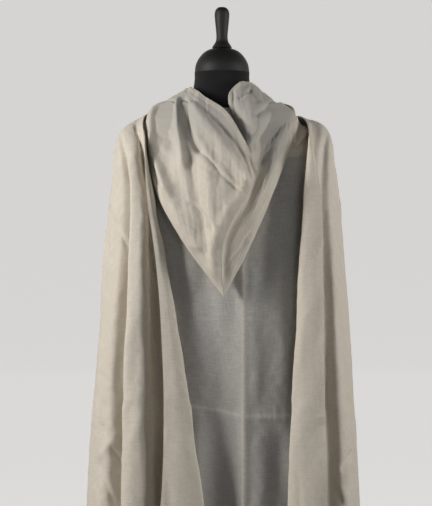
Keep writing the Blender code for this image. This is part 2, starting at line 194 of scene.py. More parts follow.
def nearestOnPath(points, path):
    # distance to a path of (x, z) points, which side of it, and the share of the way along it
    best = np.full(points.shape[:-1], 1e9)
    side = np.zeros_like(best)
    along = np.zeros_like(best)
    lengths = [math.dist(a, b) for a, b in zip(path, path[1:])]
    travelled = 0.0
    for a, b, length in zip(path, path[1:], lengths):
        a, b = np.array(a), np.array(b)
        run = (b - a) / length
        offset = points - a
        t = np.clip(offset @ run, 0, length)
        gap = offset - t[..., None] * run
        distance = np.linalg.norm(gap, axis=-1)
        nearer = distance < best
        best = np.where(nearer, distance, best)
        side = np.where(nearer, np.sign(run[0] * offset[..., 1] - run[1] * offset[..., 0]), side)
        along = np.where(nearer, (travelled + t) / sum(lengths), along)
        travelled += length
    return best, side, along


def smoothPath(path, steps=6):
    if len(path) < 3:
        return path
    places = np.linspace(0, len(path) - 1, steps * (len(path) - 1) + 1)
    found = through([(x, 0.0, z) for x, z in path], places)
    return [(p[0], p[2]) for p in found]


def pressed(grid, normals, creases, mask):
    # each crease is (path as x and z, height, half width, sharpness, lean), in mm. A trough's height is below
    # zero. Sharpness 0 is a soft roll and 1 a crisp line; lean lifts one side and drops the other
    flat = grid[..., [0, 2]]
    total = np.zeros(grid.shape[:2])
    for path, height, width, *edge in creases:
        sharpness, lean = edge or (0, 0)
        path = smoothPath([(x / 1000, z / 1000) for x, z in path])
        distance, side, along = nearestOnPath(flat, path)
        reach = width / 1000
        soft = np.exp(-((distance / reach) ** 2))
        crisp = np.exp(-distance / (0.6 * reach))
        shape = soft * (1 - sharpness) + crisp * sharpness
        tilt = lean * side * (distance / reach) * np.exp(-((distance / reach) ** 2) / 1.6)
        fade = smoothStep(along, -0.02, 0.14) * (1 - smoothStep(along, 0.84, 1.02))
        total += height / 1000 * (shape + tilt) * fade
    return grid + normals * (total * mask)[..., None]


def rippled(u, v, seed, waves, acrossLength, downLength, height):
    # soft uneven undulation, as waves of many lengths laid over each other; lengths and height in metres
    chance = np.random.default_rng(seed)
    total = np.zeros_like(u)
    for _ in range(waves):
        across = 2 * math.pi / acrossLength * chance.uniform(0.5, 1.6) * chance.choice([-1, 1])
        down = 2 * math.pi / downLength * chance.uniform(0.3, 1.5)
        total += np.cos(across * u + down * v + chance.uniform(0, 2 * math.pi))
    return total * height / math.sqrt(waves / 2)


def linear(hexColour):
    # sRGB hex to the renderer's linear colour
    values = [int(hexColour[i:i + 2], 16) / 255 for i in (1, 3, 5)]
    return tuple(v / 12.92 if v <= 0.04045 else ((v + 0.055) / 1.055) ** 2.4 for v in values) + (1.0,)


def addNode(tree, kind, links=None, values=None, **settings):
    # a node with its settings, its socket values and its incoming links
    node = tree.nodes.new("ShaderNode" + kind)
    for name, value in settings.items():
        setattr(node, name, value)
    for name, value in (values or {}).items():
        node.inputs[name].default_value = value
    for name, socket in (links or {}).items():
        tree.links.new(socket, node.inputs[name])
    return node


def placed(name, data):
    # an object for a mesh, a light or a camera, put into the scene
    obj = bpy.data.objects.new(name, data)
    bpy.context.scene.collection.objects.link(obj)
    return obj


def meshObject(name, points, faces, material):
    mesh = bpy.data.meshes.new(name)
    mesh.from_pydata([tuple(p) for p in points], [], faces)
    mesh.materials.append(material)
    mesh.shade_smooth()
    return placed(name, mesh)


def newMaterial(name):
    material = bpy.data.materials.new(name)
    material.use_nodes = True
    return material, material.node_tree, material.node_tree.nodes["Principled BSDF"]


def surface(tree, shader, colour, relief=None, bump=(0, 0), pattern=None, rough=(0, 0), values=None):
    # the shader's colour, its bump as strength and depth in metres of a relief, its range of roughness over a
    # pattern, and the values of its other sockets
    tree.links.new(colour, shader.inputs["Base Color"])
    if relief is not None:
        strength, depth = bump
        bumped = addNode(tree, "Bump", {"Height": relief}, {"Strength": strength, "Distance": depth})
        tree.links.new(bumped.outputs[0], shader.inputs["Normal"])
    if pattern is not None:
        low, high = rough
        spread = addNode(tree, "MapRange", {"Value": pattern}, {"To Min": low, "To Max": high})
        tree.links.new(spread.outputs[0], shader.inputs["Roughness"])
    for name, value in (values or {}).items():
        shader.inputs[name].default_value = value


def woolCloth(name, light, dark, tint, settings, marked=None):
    # Undyed wool, plain woven from fine single yarns and lightly fulled: matt, a little hairy, with thick and
    # thin yarns showing as faint streaks both ways. Its coordinates are the cloth's own: metres along it both
    # ways, then a share, which is how far the place takes the marked colour
    material, tree, shader = newMaterial(name)
    cut = addNode(tree, "Attribute", attribute_name="cut").outputs["Vector"]
    place = addNode(tree, "VectorMath", {0: cut}, {1: (1.0, 1.0, 0.0)}, operation="MULTIPLY").outputs[0]

    def patches(wide, long, shift, detail=2.0):
        scale = {1: (1 / wide, 1 / long, 0.0), 2: (shift, 2 * shift, shift)}
        scaled = addNode(tree, "VectorMath", {0: place}, scale, operation="MULTIPLY_ADD")
        noise = addNode(tree, "TexNoise", {"Vector": scaled.outputs[0]}, {"Scale": 1.0, "Detail": detail})
        return addNode(tree, "MapRange", {"Value": noise.outputs["Fac"]}, {1: 0.3, 2: 0.7}).outputs[0]

    wide, long = settings["slubWidth"], settings["slubLength"]
    warp, weft = patches(wide, long, 3.1), patches(long, wide, 7.7)
    yarns = addNode(tree, "Mix", {2: warp, 3: weft}, {0: 0.5}).outputs[0]
    shades = {6: linear(dark), 7: linear(light)}
    colour = addNode(tree, "Mix", {0: yarns}, shades, data_type="RGBA").outputs[2]
    cloudy = patches(settings["patchSize"], settings["patchSize"], 1.3, 4.0)
    strength = {1: settings["patchStrength"]}
    weight = addNode(tree, "Math", {0: cloudy}, strength, operation="MULTIPLY").outputs[0]
    colour = addNode(tree, "Mix", {0: weight, 6: colour}, {7: linear(tint)}, data_type="RGBA").outputs[2]
    # the marked colour: painted shade at the top of the hood, and on the centre back the lighter tone of doubled
    # cloth
    if marked:
        share = addNode(tree, "SeparateXYZ", {0: cut}).outputs[2]
        shades = {7: linear(marked)}
        colour = addNode(tree, "Mix", {0: share, 6: colour}, shades, data_type="RGBA").outputs[2]

    # over and under of the plain weave, one thread spacing to each crown
    spacing = math.pi / settings["threadSpacing"]
    turned = addNode(tree, "VectorMath", {0: place}, {3: spacing}, operation="SCALE").outputs[0]
    waves = addNode(tree, "VectorMath", {0: turned}, operation="SINE").outputs[0]
    crowns = addNode(tree, "SeparateXYZ", {0: waves}).outputs
    over = addNode(tree, "Math", {0: crowns[0], 1: crowns[1]}, operation="MULTIPLY").outputs[0]
    fuzz = patches(settings["fuzzSize"], settings["fuzzSize"], 5.9, 3.0)
    strength = {1: settings["weaveStrength"]}
    relief = addNode(tree, "Math", {0: over, 2: fuzz}, strength, operation="MULTIPLY_ADD").outputs[0]
    relief = addNode(tree, "Math", {0: relief, 1: yarns}, operation="ADD").outputs[0]
    sheen = {"Sheen Weight": settings["sheen"], "Sheen Roughness": 0.5, "Sheen Tint": linear(light)}
    values = {"Specular IOR Level": 0.2, **sheen}
    surface(tree, shader, colour, relief, settings["bump"], yarns, settings["rough"], values)
    return material


woolSettings = {
    "threadSpacing": 0.0011,
    "slubWidth": 0.0016,  # finer yarns would not show at arm's length, so they are drawn this coarse
    "slubLength": 0.018,
    "patchSize": 0.12,
    "patchStrength": 0.4,
    "fuzzSize": 0.0012,
    "weaveStrength": 0.4,
    "bump": (0.5, 0.0005),
    "rough": (0.93, 0.84),
    "sheen": 0.10,
}
creamWool = woolCloth("creamWool", "#E2DCD2", "#C8C1B5", "#D4CBBB", woolSettings)
# the centre back, greyer than the fronts and lighter where hems and allowances double it: partly painted shade,
# where less light reaches the recessed back, and partly the black form showing through a single layer of cloth
backWoolPaintedShade = woolCloth("backWoolPaintedShade", "#D0CFCC", "#A8A7A5", "#C0BBB1", woolSettings, "#E4DED3")

# the same wool, a little greyer at the top of the hood: painted shade, where less light reaches it round the
# neck, and not a second cloth
hoodWoolPaintedShade = woolCloth("hoodWoolPaintedShade", "#E2DCD2", "#C8C1B5", "#D4CBBB", woolSettings, "#BAB7B1")


def sewingThread():
    # spun polyester thread, slightly glossier than the wool it sinks into
    material, tree, shader = newMaterial("sewingThread")
    twist = addNode(tree, "TexNoise", None, {"Scale": 900.0, "Detail": 1.0}).outputs["Fac"]
    shades = {6: linear("#CFC3AC"), 7: linear("#E6DCC8")}
    colour = addNode(tree, "Mix", {0: twist}, shades, data_type="RGBA").outputs[2]
    surface(tree, shader, colour, values={"Roughness": 0.6})
    return material


def cottonJersey():
    # black cotton jersey stretched over the padded torso: dull, with fine knit ribs and a dusty sheen
    material, tree, shader = newMaterial("cottonJersey")
    place = addNode(tree, "TexCoord").outputs["Object"]
    lint = addNode(tree, "TexNoise", {"Vector": place}, {"Scale": 160.0, "Detail": 4.0}).outputs["Fac"]
    knit = {"Scale": 1 / 0.0012 / 20, "Distortion": 0.6}  # the scale that ribs 1.2 mm apart need
    ribs = addNode(tree, "TexWave", {"Vector": place}, knit, bands_direction="Z").outputs["Fac"]
    shades = {6: linear("#0B0B0D"), 7: linear("#18181A")}
    colour = addNode(tree, "Mix", {0: lint}, shades, data_type="RGBA").outputs[2]
    values = {"Roughness": 0.9, "Sheen Weight": 0.15, "Specular IOR Level": 0.2}
    surface(tree, shader, colour, ribs, (0.25, 0.0004), values=values)
    return material


def lacqueredBeech():
    # turned beech under black lacquer: smooth, soft highlights, fine turning rings just felt
    material, tree, shader = newMaterial("lacqueredBeech")
    place = addNode(tree, "TexCoord").outputs["Object"]
    turned = {1: (60.0, 60.0, 900.0)}
    stretched = addNode(tree, "VectorMath", {0: place}, turned, operation="MULTIPLY").outputs[0]
    rings = addNode(tree, "TexNoise", {"Vector": stretched}, {"Scale": 1.0, "Detail": 2.0}).outputs["Fac"]
    shades = {6: linear("#060606"), 7: linear("#0D0C0C")}
    colour = addNode(tree, "Mix", {0: rings}, shades, data_type="RGBA").outputs[2]
    values = {"Specular IOR Level": 0.35}
    surface(tree, shader, colour, rings, (0.15, 0.0002), rings, (0.52, 0.64), values)
    return material


def powderCoatedSteel():
    # steel under black powder coat: satin, with the fine orange peel of baked powder, about 1 mm across
    material, tree, shader = newMaterial("powderCoatedSteel")
    place = addNode(tree, "TexCoord").outputs["Object"]
    peel = addNode(tree, "TexNoise", {"Vector": place}, {"Scale": 1 / 0.0012, "Detail": 2.0}).outputs["Fac"]
    dust = addNode(tree, "TexNoise", {"Vector": place}, {"Scale": 14.0, "Detail": 5.0}).outputs["Fac"]
    shades = {6: linear("#0D0D0E"), 7: linear("#1A1A1B")}
    colour = addNode(tree, "Mix", {0: dust}, shades, data_type="RGBA").outputs[2]
    surface(tree, shader, colour, peel, (0.2, 0.0003), dust, (0.42, 0.58))
    return material


threadMaterial = sewingThread()
print("materials made")


def finishPiece(obj, nodes=()):
    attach(obj, "root")
    if nodes:
        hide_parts(*nodes)
    return obj


def clothShell(name, grid, material, thickness, cut, tone):
    # a sheet with two faces and closed edges; cut is each point's place on the flat cloth, and tone a share
    rows, columns = grid.shape[:2]
    normals = normalsOf(grid)
    half = thickness[..., None] / 2
    points = np.concatenate([(grid + normals * half).reshape(-1, 3), (grid - normals * half).reshape(-1, 3)])
    index = np.arange(rows * columns).reshape(rows, columns)
    a, b, c, d = index[:-1, :-1], index[:-1, 1:], index[1:, 1:], index[1:, :-1]
    front = np.stack([a, d, c, b], axis=-1).reshape(-1, 4)
    back = front[:, ::-1] + rows * columns
    edge = np.concatenate([index[0, :-1], index[:-1, -1], index[-1, :0:-1], index[:0:-1, 0]])
    after = np.roll(edge, -1)
    under = rows * columns
    rim = np.stack([edge, after, after + under, edge + under], axis=-1)
    faces = np.concatenate([front, back, rim])
    mesh = bpy.data.meshes.new(name)
    mesh.vertices.add(len(points))
    mesh.vertices.foreach_set("co", points.ravel())
    mesh.loops.add(faces.size)
    mesh.loops.foreach_set("vertex_index", faces.ravel().astype(np.int32))
    mesh.polygons.add(len(faces))
    mesh.polygons.foreach_set("loop_start", np.arange(0, faces.size, 4, dtype=np.int32))
    mesh.update(calc_edges=True)
    places = mesh.attributes.new("cut", "FLOAT_VECTOR", "POINT")
    flat = np.concatenate([cut, tone[..., None]], axis=-1).reshape(-1, 3)
    places.data.foreach_set("vector", np.concatenate([flat, flat]).astype(np.float32).ravel())
    mesh.materials.append(material)
    mesh.shade_smooth()
    mesh.set_sharp_from_angle(angle=math.radians(50))
    return placed(name, mesh)


def cutPlaces(grid):
    # the place of each point on the flat cloth, measured along the cloth from its middle column
    across = arcLengths(grid, 1)
    across -= across[:, [across.shape[1] // 2]]
    down = arcLengths(grid, 0)
    return np.stack([across, down], axis=-1)


def edgeDistances(grid):
    # metres of cloth to each of the sheet's four edges
    down, across = arcLengths(grid, 0), arcLengths(grid, 1)
    return {"top": down, "bottom": down[-1:] - down, "first": across, "last": across[:, -1:] - across}


def nearEdges(grid, names, reach, soft=0.0015):
    # 1 within reach of any of the named edges, 0 elsewhere
    distances = edgeDistances(grid)
    near = np.zeros(grid.shape[:2])
    for name in names:
        near = np.maximum(near, 1 - smoothStep(distances[name], reach - soft, reach + soft))
    return near


def seamMask(grid, reaches):
    # 0 on the sewn edges, so that neighbours still meet, and 1 further than each edge's reach away from it
    distances = edgeDistances(grid)
    mask = np.ones(grid.shape[:2])
    for name, reach in reaches.items():
        mask = mask * smoothStep(distances[name], 0.0005, reach)
    return mask


def puckered(grid, normals, seams, height, spacing=0.014):
    # the allowances make a low ridge along a seam, and the stitches gather it slightly
    distances = edgeDistances(grid)
    moved = np.zeros(grid.shape[:2])
    for name in seams:
        travel = arcLengths(grid, 1 if name in ("top", "bottom") else 0)
        distance = distances[name]
        wave = np.sin(2 * math.pi * travel / spacing + 1.7 * np.sin(2 * math.pi * travel / (spacing * 3.7)))
        near = smoothStep(distance, 0.0, 0.003) * np.exp(-((distance / 0.012) ** 2))
        ridge = np.exp(-(((distance - 0.004) / 0.004) ** 2))
        moved += height * (0.6 * wave * near + ridge)
    return grid + normals * moved[..., None]


stitchSizes = {"length": 0.0030, "pitch": 0.0042, "thickness": 0.00045}


def stitchRow(grid, normals, thickness, edge, inset):
    # points and normals of a line on the cloth, one inset in from an edge
    distance = edgeDistances(grid)[edge]
    layers = [grid, normals, distance, thickness]
    if edge in ("top", "bottom"):
        layers = [layer.swapaxes(0, 1) for layer in layers]
    if edge in ("last", "bottom"):
        layers = [layer[:, ::-1] for layer in layers]
    points, directions, distance, wall = layers
    k = np.clip((distance < inset).sum(axis=1) - 1, 0, distance.shape[1] - 2)
    rows = np.arange(len(k))
    t = (inset - distance[rows, k]) / np.maximum(distance[rows, k + 1] - distance[rows, k], 1e-9)
    t = np.clip(t, 0, 1)[:, None]
    line = points[rows, k] * (1 - t) + points[rows, k + 1] * t
    return line, directions[rows, k], wall[rows, k]


def stitches(name, grid, normals, thickness, rows):
    # short sunk lengths of thread on both faces of the cloth, in rows of (edge, inset)
    points, faces = [], []
    ring = np.array([(1, 0), (0, 1), (-1, 0), (0, -1)]) * stitchSizes["thickness"] / 2
    for edge, inset in rows:
        line, directions, wall = stitchRow(grid, normals, thickness, edge, inset)
        travelled = np.concatenate([[0], np.cumsum(np.linalg.norm(np.diff(line, axis=0), axis=1))])
        starts = np.arange(0.003, travelled[-1] - 0.006, stitchSizes["pitch"])
        for face in (1, -1):
            for start in starts:
                ends = [start, start + stitchSizes["length"]]
                a, b = (np.array([np.interp(e, travelled, line[:, k]) for k in range(3)]) for e in ends)
                k = min(int(np.searchsorted(travelled, start)), len(line) - 1)
                up = directions[k] * face
                run = b - a
                run /= np.linalg.norm(run) + 1e-12
                sideways = np.cross(up, run)
                lift = up * (wall[k] / 2 + 0.0001)
                base = len(points)
                points.append(a + lift - up * 0.0003)
                for share in (0.2, 0.8):
                    centre = a + (b - a) * share + lift
                    points.extend(centre + sideways * x + up * y for x, y in ring)
                points.append(b + lift - up * 0.0003)
                for k in range(4):
                    after = (k + 1) % 4
                    faces.append((base, base + 1 + after, base + 1 + k))
                    faces.append((base + 1 + k, base + 1 + after, base + 5 + after, base + 5 + k))
                    faces.append((base + 9, base + 5 + k, base + 5 + after))
    return finishPiece(meshObject(name, points, faces, threadMaterial))


backSizes = {
    "hollowDepth": 0.030,
    "hollowX": 0.008,
    "hollowReach": 0.032,
    "stepsAcross": 11,
    "stillEdges": {"top": 0.02, "bottom": 0.03, "first": 0.02, "last": 0.03},  # where ripples fade to nothing
    "pucker": 0.0006,
    "ridgeHeight": 0.005,  # the centre back seam stands up below the hood
    "ridgeReach": 0.013,
    "ridgeFade": (1.02, 1.25),
    "hemStitch": 0.009,  # from the hem's edge to its row of stitches
}


def cloakRingPoint(angle, z):
    halfWidth, halfDepth = ringAt(cloakRings, z)
    across, back = math.sin(math.radians(angle)), math.cos(math.radians(angle))
    share = 2 / cloakSizes["roundness"]
    x = halfWidth * math.copysign(abs(across) ** share, across)
    y = halfDepth * math.copysign(abs(back) ** share, back)
    return np.array([x, y, z])


def necklineZ(angle):
    # dips at the nape, and more at the throat
    towardsNape = math.cos(math.radians(angle))
    dips = cloakSizes["napeDrop"] * max(0.0, towardsNape) ** 2
    return cloakSizes["necklineHeight"] - dips - cloakSizes["throatDrop"] * ((1 - towardsNape) / 2) ** 2


def neckPoint(side, angle, rise=0.0, out=0.0):
    x, y, z = lifted(cloakRingPoint(angle, necklineZ(angle)), cloakSizes["bodyClearance"])
    away = math.hypot(x, y)
    return np.array([side * x * (1 + out / away), y * (1 + out / away), z + rise])


def yokeSeamZ(angle):
    return cloakSizes["yokeSeamHeight"] + cloakSizes["yokeSeamRise"] * (angle / cloakSizes["sideAngle"]) ** 2


def hipSeamZ(side, angle):
    # level on the right; climbs from the centre back seam round the left
    if side < 0:
        return cloakSizes["hipSeamHeight"]
    climb = min(1.0, max(0.0, (angle + 8) / 14))
    turn = max(0.0, angle / cloakSizes["sideAngle"])
    return cloakSizes["hipSeamHeight"] + cloakSizes["leftSeamRise"] * (0.55 * climb + 0.45 * turn)


def centreHollow(x, z):
    # a long hollow between the turned back edges, from the hips down
    top, run = cloakSizes["hipSeamHeight"] + 0.04, 0.30
    depth = backSizes["hollowDepth"] * min(1.0, max(0.0, (top - z) / run))
    return depth * math.exp(-(((x - backSizes["hollowX"]) / backSizes["hollowReach"]) ** 2))


def innerLayerPoint(side, angle, z):
    x, y, z = lifted(cloakRingPoint(angle, z), cloakSizes["bodyClearance"])
    return np.array([side * x, y - centreHollow(side * x, z), z])


def backGrid(side, angles, topAt, bottomAt, rows, crowding=1.0):
    grid = []
    for v in np.linspace(0, 1, rows + 1) ** crowding:
        grid.append([innerLayerPoint(side, a, topAt(a) + (bottomAt(a) - topAt(a)) * v) for a in angles])
    return np.array(grid)


def centreBackAngle(side, z):
    halfWidth = ringAt(cloakRings, z)[0]
    x = side * cloakSizes["centreBackX"] - cloakSizes["centreLap"]
    turned = math.asin((abs(x) / halfWidth) ** (cloakSizes["roundness"] / 2))
    return math.degrees(turned) * math.copysign(1, x)


# the back hangs nearly flat, with a few long soft rolls and a shallow hollow beside the hood
backCreases = {
    "right": [
        ([(-95, 1270), (-91, 1160), (-100, 1050)], -4, 20),
        ([(-62, 1120), (-64, 960), (-70, 800)], 2.4, 14),
        ([(-128, 1200), (-122, 1020), (-130, 830)], 2, 15),
        ([(-150, 1310), (-142, 1240), (-128, 1180)], -2, 9, 0.2, 0.3),
    ],
    "left": [
        ([(20, 1060), (16, 930), (12, 800)], -2.6, 16),
        ([(62, 1180), (55, 1040), (48, 860)], 2.4, 17),
        ([(100, 1240), (94, 1100), (80, 930)], -2.6, 15),
    ],
}
lowerBackCreases = {
    "right": [
        ([(-70, 780), (-74, 560), (-82, 200)], 3, 18),
        ([(-108, 760), (-112, 520), (-118, 190)], -4, 20),
        ([(-150, 740), (-156, 500), (-160, 180)], 4, 18),
    ],
    "left": [
        ([(52, 780), (58, 560), (66, 200)], 4, 18),
        ([(98, 770), (104, 560), (112, 190)], -4, 20),
        ([(150, 740), (154, 520), (160, 190)], 4, 18),
    ],
}


def outward(grid, towards, row=0.5, column=0.5):
    # normals on the side of the cloth that faces the given way at one place of the sheet
    normals = normalsOf(grid)
    middle = normals[int(row * (len(grid) - 1)), int(column * (grid.shape[1] - 1))]
    return normals if middle @ np.array(towards) > 0 else -normals


def sewnPiece(name, node, grid, material, hems=(), seams=(), stitchRows=(), paintedShade=None):
    # the sheet as a shell in its CAD solid's place, with its hems, stitches and stated cut
    cloth, doubled = cloakSizes["clothThickness"], cloakSizes["hemThickness"]
    hem = nearEdges(grid, hems, cloakSizes["hemWidth"])
    allowance = np.zeros(grid.shape[:2])
    for edge in seams:
        travel = arcLengths(grid, 1 if edge in ("top", "bottom") else 0)
        uneven = 0.8 + 0.2 * np.sin(travel / 0.0017 + 2 * np.sin(travel / 0.011))
        near = np.exp(-((edgeDistances(grid)[edge] / cloakSizes["allowance"]) ** 2))
        allowance = np.maximum(allowance, near * uneven)
    thickness = cloth + (doubled - cloth) * hem
    # the tone is 1 where hems and allowances double the cloth, and on the hood it is the painted shade at its
    # top, less on the hem
    tone = np.maximum(hem, allowance * 0.8) if paintedShade is None else paintedShade * (1 - 0.4 * hem)
    obj = clothShell(name, grid, material, thickness, cutPlaces(grid), tone)
    finishPiece(obj, (node,))
    sewn = []
    if stitchRows:
        sewn = [stitches(name + "Stitches", grid, normalsOf(grid), thickness, stitchRows)]


def buildBacks():
    hip, steps = cloakSizes["hipSeamHeight"], backSizes["stepsAcross"]
    halves = {s: np.linspace(centreBackAngle(s, hip), cloakSizes["sideAngle"], steps) for s in (1, -1)}
    across = np.concatenate([-halves[-1][:0:-1], halves[1]])
    gap = cloakSizes["seamGap"] / 2
    grid = refined(backGrid(1, across, necklineZ, lambda a: yokeSeamZ(a) + gap, 5), 60, 220)
    normals = outward(grid, (0, 1, 0))
    grid = pressed(grid, normals, yokeCreases, seamMask(grid, {"top": 0.012, "first": 0.012, "last": 0.012}))
    grid = puckered(grid, normals, ("bottom",), backSizes["pucker"])
    sewnPiece("yoke", "back_yoke", grid, creamWool, seams=("bottom",))
    for side, hand in ((1, "left"), (-1, "right")):
        half = halves[side]
        upper = backGrid(side, half, lambda a: yokeSeamZ(a) - gap, lambda a: hipSeamZ(side, a) + gap, 7, 1.2)
        lower = backGrid(side, half, lambda a: hipSeamZ(side, a) - gap, lambda a: cloakSizes["hemHeight"], 5)
        for part, coarse, creases, seams, hems, height in (
            ("Upper", upper, backCreases[hand], ("first", "top", "bottom"), (), 0.0010),
            ("Lower", lower, lowerBackCreases[hand], ("first", "top"), ("bottom",), 0.0013),
        ):
            grid = refined(coarse, 130, 90)
            normals = outward(grid, (0, 1, 0))
            mask = seamMask(grid, {edge: backSizes["stillEdges"][edge] for edge in seams + ("last",)})
            grid = pressed(grid, normals, creases, mask)
            u, v = np.moveaxis(cutPlaces(grid), -1, 0)
            ripple = rippled(u, v, len(part) + side, 18, 0.09, 0.40, height)
            ripple += rippled(u, v, 3 + side, 18, 0.03, 0.05, 0.00018)
            # the seam itself stands up as a low ridge below the hood, straight back so that both halves meet
            fromSeam = edgeDistances(grid)["first"]
            ridge = backSizes["ridgeHeight"] * np.exp(-((fromSeam / backSizes["ridgeReach"]) ** 2))
            ridge *= 1 - smoothStep(grid[..., 2], *backSizes["ridgeFade"])
            grid = grid + normals * (ripple * mask)[..., None] + np.array([0, 1, 0]) * ridge[..., None]
            grid = puckered(grid, normals, seams, backSizes["pucker"])
            rows = [(edge, backSizes["hemStitch"]) for edge in hems]
            node = f"back_{part.lower()}_{hand}"
            # the back panels take the greyer wool: painted shade, with the dark form partly showing through
            sewnPiece(f"back{part}{hand.title()}", node, grid, backWoolPaintedShade, hems, seams, rows)


# the yoke shows only beside the hood, where it is dragged into short radiating folds
yokeCreases = [
    ([(-158, 1436), (-155, 1400), (-148, 1350)], 6, 4.5, 0.3, 0.3),
    ([(-174, 1408), (-167, 1385), (-157, 1360)], -4, 6, 0.1, 0.3),
    ([(-186, 1389), (-168, 1363), (-148, 1340)], 7, 5, 0.4, 0.5),
    ([(-146, 1424), (-164, 1412), (-184, 1392)], 9, 10),
    ([(150, 1412), (152, 1385), (150, 1352)], -3, 5, 0.2, 0.2),
    ([(164, 1425), (170, 1392), (168, 1356)], 5, 8, 0.1, 0),
]
buildBacks()
print("back and yoke sewn")

# fold lines of a thrown back front: place across the shoulder (0 hairpin, 1 free edge), then in mm x and y at
# chest height, x and y at the hem, and how far the line bows inwards halfway down
frontFolds = {
    "left": [
        (0.00, 200, -90, 206, -128),  # inside of the hairpin
        (0.03, 211, -109, 226, -154),  # hairpin
        (0.07, 227, -99, 258, -136),  # outside of the hairpin
        (0.18, 240, -56, 292, -78),  # crest at the front of the arm
        (0.30, 231, -20, 271, -22),  # dip over the arm
        (0.42, 238, 20, 303, 34),  # outline crest
        (0.52, 226, 64, 288, 106),  # outer fold, back
        (0.60, 207, 94, 250, 146),  # outer fold, turning in
        (0.66, 184, 95, 204, 120),  # outer valley
        (0.72, 188, 127, 214, 188),  # broad fold, outer edge
        (0.79, 171, 137, 176, 208),  # broad fold, crest
        (0.85, 163, 133, 140, 186),  # broad fold, inner side
        (0.89, 155, 116, 122, 148),  # inner valley
        (0.93, 151, 127, 58, 176),  # under the turned back edge
        (0.96, 146, 139, -4, 196),  # fold of the turned back edge
        (0.98, 151, 150, 68, 214, 20),  # turned back edge, middle
        (1.00, 157, 151, 185, 212, 54),  # free edge
    ],
    "right": [
        (0.00, 200, -90, 206, -128),
        (0.03, 213, -109, 228, -152),
        (0.07, 231, -98, 262, -132),
        (0.18, 246, -53, 296, -70),
        (0.30, 238, -16, 277, -18),
        (0.43, 249, 24, 306, 36),
        (0.55, 240, 68, 291, 108),
        (0.64, 223, 99, 260, 148),
        (0.71, 206, 100, 228, 132),  # valley
        (0.78, 194, 118, 196, 160),  # under the turned back edge
        (0.85, 181, 122, 150, 164),  # under the turned back edge, inner
        (0.91, 171, 134, 120, 180),  # roll of the turned back edge
        (0.94, 175, 146, 137, 200),  # fold of the turned back edge
        (0.97, 189, 151, 174, 212),  # turned back edge, middle
        (1.00, 202, 146, 217, 208),
    ],
}
throatArc = [(0.0005, -0.128, 1.304), (0.0005, -0.126, 1.338), (0.0005, -0.121, 1.372)]
chestArc = [(0.108, -0.134, 1.296), (0.138, -0.119, 1.350), (0.120, -0.086, 1.410)]
shoulderArcs = {
    "left": [(0.184, -0.108, 1.262), (0.224, -0.034, 1.344), (0.212, 0.006, 1.388), (0.163, 0.010, 1.420)],
    "right": [(0.185, -0.107, 1.262), (0.229, -0.034, 1.350), (0.221, 0.006, 1.392), (0.172, 0.010, 1.414)],
}
frontSeamPlaces = {"left": 6.40, "right": 6.57}

# creases in the fronts, on the side that shows from behind
frontCreases = {
    "left": [
        ([(228, 1196), (210, 1165), (193, 1132)], -4.5, 5, 0.5, 0.7),
        ([(238, 1244), (224, 1216), (212, 1192)], 3, 6, 0.2, 0),
        ([(246, 1150), (236, 1120), (222, 1098)], -2, 6, 0.2, 0.4),
        ([(216, 960), (224, 900), (232, 830)], 2.4, 9),
        ([(238, 1080), (243, 1000), (246, 920)], -2.6, 10),
        ([(264, 872), (246, 866), (228, 850)], -2.2, 5, 0.3, 0.4),
        ([(168, 1160), (166, 1000), (162, 850)], 1.6, 8),
        ([(136, 980), (146, 940), (150, 890)], -2.2, 5, 0.2, 0.4),
    ],
    "right": [
        ([(-238, 1120), (-244, 1030), (-247, 930)], -2.4, 9),
        ([(-196, 1160), (-194, 1020), (-192, 860)], 1.8, 7),
        ([(-252, 1240), (-246, 1200), (-238, 1160)], 2.4, 7, 0.1, 0.2),
        ([(-262, 960), (-256, 930), (-246, 905)], -2, 6, 0.2, 0.4),
    ],
}
lowerFrontCreases = {
    "left": [
        ([(252, 772), (232, 728), (208, 682)], -5.5, 6, 0.5, 0.6),
        ([(212, 760), (237, 723), (256, 694)], 4.5, 6, 0.3, 0),
        ([(228, 776), (222, 744), (222, 716)], 3, 5, 0.3, 0.3),
        ([(258, 696), (239, 643), (218, 594)], -5.5, 7, 0.4, 0.6),
        ([(270, 640), (256, 600), (244, 560)], 3, 8, 0.1, 0.2),
        ([(132, 780), (110, 640), (80, 480)], 2.2, 11),
        ([(176, 760), (174, 600), (176, 420)], -2.2, 10),
        ([(208, 560), (226, 460), (236, 340)], -4, 12, 0.1, 0.2),
    ],
    "right": [
        ([(-244, 672), (-258, 692), (-272, 712)], -5, 5, 0.4, 0.6),
        ([(-272, 690), (-262, 668), (-258, 644)], 3.5, 5, 0.3, 0.2),
        ([(-236, 640), (-246, 614), (-256, 590)], -4.5, 6, 0.4, 0.5),
        ([(-262, 628), (-252, 600), (-240, 572)], 3, 6, 0.2, 0.2),
        ([(-150, 720), (-156, 600), (-166, 420)], 2.2, 10),
        ([(-246, 520), (-238, 420), (-222, 300)], -4, 12, 0.1, 0.2),
    ],
}


def frontLine(side, fold, shoulderArc):
    place, *sizes = fold
    xChest, yChest, xHem, yHem, *bow = (size / 1000 for size in sizes)
    over = through(shoulderArc, [place * 3])[0]
    points = [through(throatArc, [place * 2])[0], through(chestArc, [place * 2])[0], over]
    chestZ = min(cloakSizes["chestHeight"], over[2] - 0.06)
    bladeZ = (over[2] + chestZ) / 2
    shallower = ringAt(cloakRings, bladeZ)[1] / ringAt(cloakRings, cloakSizes["chestHeight"])[1]
    points.append(np.array([(over[0] + xChest) / 2, yChest * shallower, bladeZ]))
    for z in (chestZ, 1.08, 0.90, 0.70, 0.44, cloakSizes["hemHeight"]):
        down = (cloakSizes["chestHeight"] - z) / (cloakSizes["chestHeight"] - cloakSizes["hemHeight"])
        spread = down * (1 + cloakSizes["flareBow"] * (1 - down))
        x = xChest + (xHem - xChest) * spread - sum(bow) * 4 * down * (1 - down)
        points.append(np.array([x, yChest + (yHem - yChest) * spread, z]))
    points = [lifted(p, cloakSizes["frontClearance"]) if p[2] > 1.2 else p for p in points]
    return [p * (side, 1, 1) for p in points]


